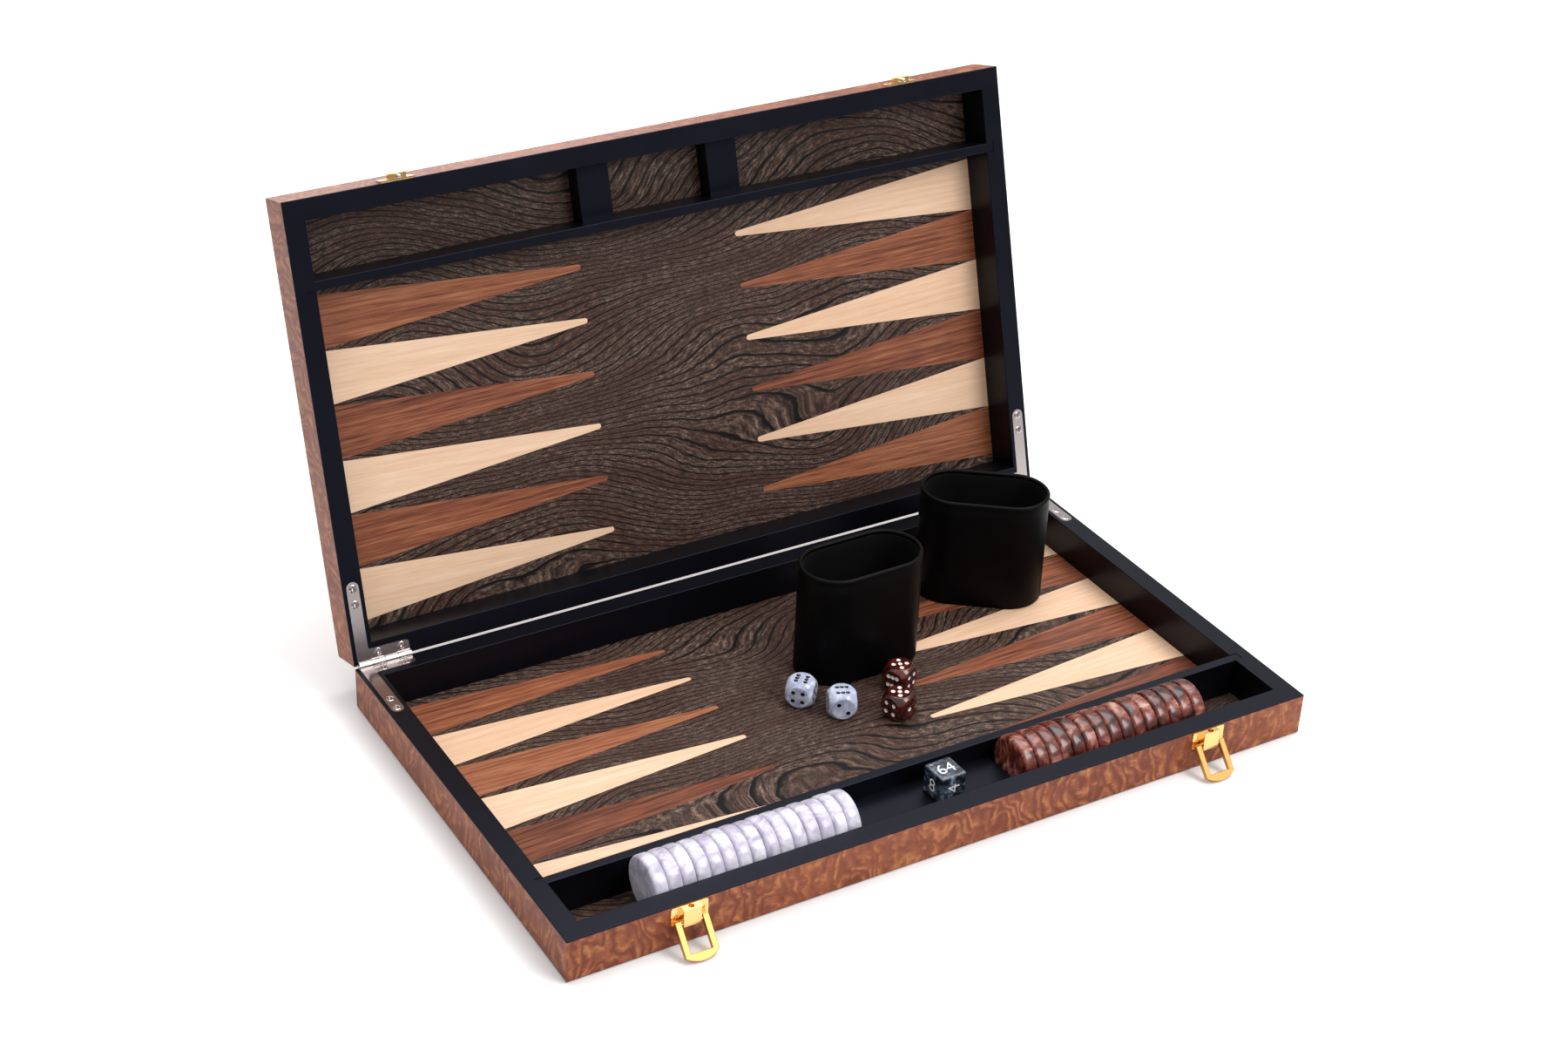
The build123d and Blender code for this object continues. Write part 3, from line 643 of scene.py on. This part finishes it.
def screw(head, shank, length, spin):
    """Countersunk cross-head screw: rings of points from the head's middle over its edge, down the cone
    and the shank to a point. The head is a shallow dome, and the cross is where its height drops: four
    arms that narrow outwards, deepest in the middle."""
    turn = np.linspace(0, 2 * math.pi, 48, endpoint=False)
    out = np.linspace(0.06, 1, 18)[:, None] * (head - 0.05)
    x, y = out * np.cos(turn + spin), out * np.sin(turn + spin)
    dome = 0.2 * head * (1 - (out / head) ** 2)
    arm = np.minimum(np.abs(x), np.abs(y)) / head
    far = np.maximum(np.abs(x), np.abs(y)) / head
    cut = np.clip((0.19 - 0.1 * far - arm) / 0.05, 0, 1) * np.clip((0.8 - far) / 0.08, 0, 1)
    deep = 0.5 * head * np.clip(1.1 - far, 0, 1)
    top = np.stack([x, y, dome - cut * deep], -1)
    profile = np.array([(head - 0.05, -0.06), (shank, shank - head), (shank, shank - length),
                        (0.15, -length)])
    sides = np.stack([profile[:, :1] * np.cos(turn + spin), profile[:, :1] * np.sin(turn + spin),
                      profile[:, 1:] + 0 * turn], -1)
    return shell(np.vstack([top, sides]))


def screws(half, kind, size, origin, z, places, material):
    """One half's screws of one kind, on a plane through origin with normal z, crosses turned at random."""
    name = f"{half}_{kind}_screw_heads"
    spin = random.Random(len(name))
    group = []
    for x, y in places:
        points, faces = screw(*size, spin.uniform(0, math.pi))
        group.append((seat(points + np.array([x, y, 0]), origin, z=z), faces))
    piece(name, together(*group), f"{half}_half", [f"{half}_{kind}_screws"], material, crease=30.0)


# ---------------------------------------------------------------- finishes in use

black = lacquer("black_lacquer")
nickel = plated("polished_nickel", "#B0A7A5", 0.16)
gold = plated("bright_gold_plate", "#F5C67B", 0.14)
brushed_gold = plated("brushed_gold_plate", "#BE8A3C", 0.2, brushed=1.0)
steel = plated("turned_steel", "#CFCFD2", 0.16)
ply = plain_wood("plywood")
white_pearl = pearl("white_pearl", ((0.36, "#A69FB6"), (0.47, "#C2BCCE"), (0.56, "#D5D2DF"),
                                    (0.68, "#EAE8F1")), 14.0, 0.2)
brown_pearl = pearl("brown_marble", ((0.36, "#160E11"), (0.44, "#4A1B14"), (0.52, "#703023"),
                                     (0.6, "#9A5F50"), (0.7, "#CDA79C")), 15.0, 0.2)
white_die = pearl("white_die_pearl", ((0.3, "#8990AE"), (0.48, "#B4BBD4"), (0.62, "#D5DAEA"),
                                      (0.76, "#EFF1F8")), 7.0, 0.1, numbered=False, pip="#08080A")
brown_die = pearl("brown_die_marble", ((0.3, "#160504"), (0.48, "#340C08"), (0.62, "#64190F"),
                                       (0.78, "#B0472C")), 6.0, 0.08, numbered=False, pip="#F4F2EE")
cube_pearl = pearl("cube_pearl", ((0.36, "#0A0B0F"), (0.47, "#20262E"), (0.57, "#4A5563"), (0.7, "#9CABBE")),
                   7.0, 0.1, numbered=False)
numeral_paint = painted("numeral_paint", "#F2F4F6")
leather = leatherette("black_leatherette")
lining = felt("black_felt")

# Every CAD node takes the look whose name is the longest that its own name starts with.
looks = {"hinge_pin": nickel, "latch_block": gold, "lid_catch": gold, "bail_pin": gold, "locating_pin": steel,
         "bail_left": brushed_gold, "bail_right": brushed_gold}
for half, spot, first, leaf_seed in (
        ("base", BASE_SPOT, DEPTH / 2 - FIRST_POINT - POINT_COUNT * POINT_BASE, 3.0),
        ("lid", LID_SPOT, FIRST_POINT, 8.0)):
    looks.update({
        f"{half}_front_rail": black, f"{half}_back_rail": black, f"{half}_left_rail": black,
        f"{half}_right_rail": black, f"{half}_tray": black, f"{half}_cube_platform": black,
        f"{half}_panel": ply, f"{half}_hinge_leaf": nickel,
        f"{half}_side_veneers": burl(f"{half}_side_burl", spot, 2, VENEER_EDGE),
        f"{half}_outer_veneer": burl(f"{half}_outer_burl", spot, 1),
        f"{half}_field_veneer": smoked_elm(f"{half}_smoked_elm", spot, 40.0 * leaf_seed),
        f"{half}_walnut_points": point_veneer(f"{half}_walnut", spot, first, WALNUT, 2.2, leaf_seed),
        f"{half}_maple_points": point_veneer(f"{half}_maple", spot, first, MAPLE, 3.4, leaf_seed + 5),
    })

for name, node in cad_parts.items():
    best = max((key for key in looks if name.startswith(key)), key=len, default=None)
    if best:
        if not node.material_slots:
            node.data.materials.append(None)
        for own in node.material_slots:
            own.material = looks[best]

# ---------------------------------------------------------------- pieces in place

checkers(-181.0, "white", 3, white_pearl)
checkers(53.0, "brown", 8, brown_pearl)

for name, x, y, turn, pips, slot, material in (
        ("white_die_left", -7.3, 19.1, 44.0, [(4, 0), (3, 0), (5, 0), (2, 0), (1, 0), (6, 1)],
         "white_pearl", white_die),
        ("white_die_right", 7.9, -1.5, 67.0, [(2, 0), (5, 0), (4, 0), (3, 0), (1, 0), (6, 0)],
         "white_pearl", white_die),
        ("brown_die_back", 52.9, 5.8, 27.0, [(6, 1), (1, 0), (4, 0), (3, 0), (2, 0), (5, 0)],
         "brown_marble", brown_die),
        ("brown_die_front", 37.1, -18.5, 15.0, [(4, 0), (3, 0), (1, 0), (6, 0), (2, 0), (5, 0)],
         "brown_marble", brown_die)):
    die(name, x, y, turn, pips, material)

up = np.array([0, 0, 1.0])
cube_middle = np.array([8.8, -107.4, PLATFORM_Z + CUBE / 2])
cube_x = heading(2.0)
cube_y = np.cross(up, cube_x)
points, quads, _ = rounded_cube(CUBE, CUBE_ROUND, None, CUBE_CELLS)
piece("doubling_cube_cast", (seat(points, cube_middle, cube_x), quads), "doubling_cube", ["doubling_cube"],
      cube_pearl, crease=60.0)
sides = [("64", up, cube_x), ("8", -cube_x, -cube_y), ("4", -cube_y, up), ("16", cube_x, cube_y),
         ("2", cube_y, -cube_x), ("32", -up, cube_x)]
numerals = [numeral(text, NUMERAL, cube_middle + z * (CUBE / 2 + 0.01), x, z) for text, z, x in sides]
piece("cube_numerals", together(*numerals), "doubling_cube", [], numeral_paint, crease=30.0)

cup("left", 45.8, 44.2, 1.0)
cup("right", 156.7, 76.1, -36.4)

# Each half's screws are set out from its rim at the hinge edge; away points from there to the latch edge.
for half, corner, out, away, sign in (
        ("base", np.array([0, DEPTH / 2, HEIGHT]), up, np.array([0, -1.0, 0]), -1),
        ("lid", LID_CORNER, LID_OUT, LID_UP, 1)):
    places = [(hand * (SIDE - LEAF_EDGE - a), sign * d) for hand in (-1, 1) for a, d in HINGE_SCREW_PLACES]
    screws(half, "hinge", HINGE_SCREW, corner, out, places, nickel)
    places = [(hand * LATCH_X + along, sign * LATCH_SCREW_DROP)
              for hand in (-1, 1) for along in (-LATCH_SCREW_OUT, LATCH_SCREW_OUT)]
    plate = corner + (DEPTH + LATCH_PLATE) * away
    screws(half, "latch", LATCH_SCREW, plate, away, places, gold)

# ---------------------------------------------------------------- floor, light and camera

FLOOR_REACH = 3.0           # metres each way

floor = bpy.data.meshes.new("floor")
floor.from_pydata([(a * FLOOR_REACH, b * FLOOR_REACH, 0) for a, b in ((-1, -1), (1, -1), (1, 1), (-1, 1))],
                  [], [(0, 1, 2, 3)])
floor_object = bpy.data.objects.new("floor", floor)
bpy.context.scene.collection.objects.link(floor_object)
paper = Finish("floor_paper")
floor.materials.append(paper.done(Base_Color=(0.93, 0.93, 0.93, 1), Roughness=0.9, Specular_IOR_Level=0.1))


def soft_box(name, spot, aim, size, power):
    """Square white area light at a spot, facing a point."""
    light = bpy.data.lights.new(name, "AREA")
    light.shape, light.size, light.energy = "SQUARE", size, power
    box = bpy.data.objects.new(name, light)
    bpy.context.scene.collection.objects.link(box)
    back = np.array(spot) - np.array(aim)
    back /= np.linalg.norm(back)
    side = np.cross((0, 0, 1.0), back)
    side /= np.linalg.norm(side)
    turn = np.stack([side, np.cross(back, side), back], 1)
    box.matrix_world = Matrix.Translation(spot) @ Matrix(turn.tolist()).to_4x4()


soft_box("overhead_box", (0.6, 0.45, 2.0), (0, 0, 0), 1.8, 31)
soft_box("front_box", (0.9, -1.55, 1.75), (0, 0, 0.1), 1.1, 27)
soft_box("back_box", (0.3, 2.3, 0.9), (0, 0.3, 0.0), 1.4, 16)

world = bpy.data.worlds.new("studio")
bpy.context.scene.world = world
world.use_nodes = True
sky = world.node_tree.nodes
height = sky.new("ShaderNodeSeparateXYZ")
rise = sky.new("ShaderNodeMapRange")
for key, value in (("From Min", -0.1), ("From Max", 0.7), ("To Min", 0.12), ("To Max", 0.95)):
    rise.inputs[key].default_value = value
world.node_tree.links.new(sky.new("ShaderNodeTexCoord").outputs["Generated"], height.inputs[0])
world.node_tree.links.new(height.outputs["Z"], rise.inputs["Value"])
world.node_tree.links.new(rise.outputs["Result"], sky["Background"].inputs["Strength"])
sky["Background"].inputs["Color"].default_value = (1, 1, 1, 1)

lens = bpy.data.cameras.new("camera")
lens.sensor_width, lens.lens, lens.shift_x, lens.shift_y = 36.0, 60.64, 0.0487, -0.0178
lens.clip_start, lens.clip_end = 0.05, 20.0
camera = bpy.data.objects.new("camera", lens)
bpy.context.scene.collection.objects.link(camera)
ahead = np.array([0.43222, 0.74640, -0.50603])
rightward = np.array([0.87263, -0.48769, 0.02601])
upward = np.cross(rightward, ahead)
camera.matrix_world = (Matrix.Translation((-0.7021, -1.0637, 0.8977))
                       @ Matrix(np.stack([rightward, upward, -ahead], 1).tolist()).to_4x4())
bpy.context.scene.camera = camera
bpy.context.scene.view_settings.view_transform = "Standard"
